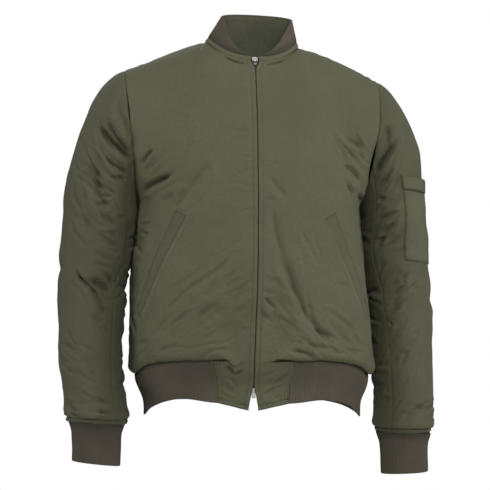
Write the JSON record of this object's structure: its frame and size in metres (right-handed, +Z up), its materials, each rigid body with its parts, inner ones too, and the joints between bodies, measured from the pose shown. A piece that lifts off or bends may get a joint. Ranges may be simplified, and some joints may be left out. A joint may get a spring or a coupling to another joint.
{
  "type": "bomber jacket",
  "caption": "Zipped bomber jacket, worn and hollow, with knitted collar, cuffs and hem, slanted front pockets, a sleeve pocket and a swinging zip pull.",
  "frame": {"origin": "between the wearer's shoulders, level with the middle of the shoulder seams, where the shoulders hold the jacket up", "axes": "+Z up, -Y out of the jacket's front, +X to the wearer's left"},
  "size_m": [0.6435, 0.254, 0.7863],
  "materials": {
    "shell": "soft matt olive woven nylon",
    "facing": "matt olive woven cloth, darker",
    "rib": "brown-grey fine rib knit, matt",
    "tape": "dark woven zip tape",
    "teeth": "dark gunmetal",
    "slider": "bright nickel",
    "pull": "dark gunmetal"
  },
  "bodies": {
    "jacket": {"front_left": "shell", "front_right": "shell", "back": "shell", "sleeve_top_left": "shell", "sleeve_top_right": "shell", "sleeve_under_left": "shell", "sleeve_under_right": "shell", "hem_tab_left": "shell", "hem_tab_right": "shell", "neck_band": "shell", "pocket_welt_left": "shell", "pocket_welt_right": "shell", "sleeve_pocket": "shell", "sleeve_pocket_flap": "shell", "collar_facing": "facing", "collar_rib": "rib", "hem_rib": "rib", "cuff_left": "rib", "cuff_right": "rib", "zip_tape_left": "tape", "zip_tape_right": "tape", "zip_chain": "teeth", "zip_slider": "slider", "zip_box": "slider"},
    "pull_tab": {"zip_pull": "pull"}
  },
  "joints": [
    {"name": "pull_swing", "type": "hinge", "parent": "jacket", "child": "pull_tab", "pos_m": [0, -0.06429, -0.00911], "axis": [1, 0, 0], "range_deg": [-150, 0]}
  ]
}
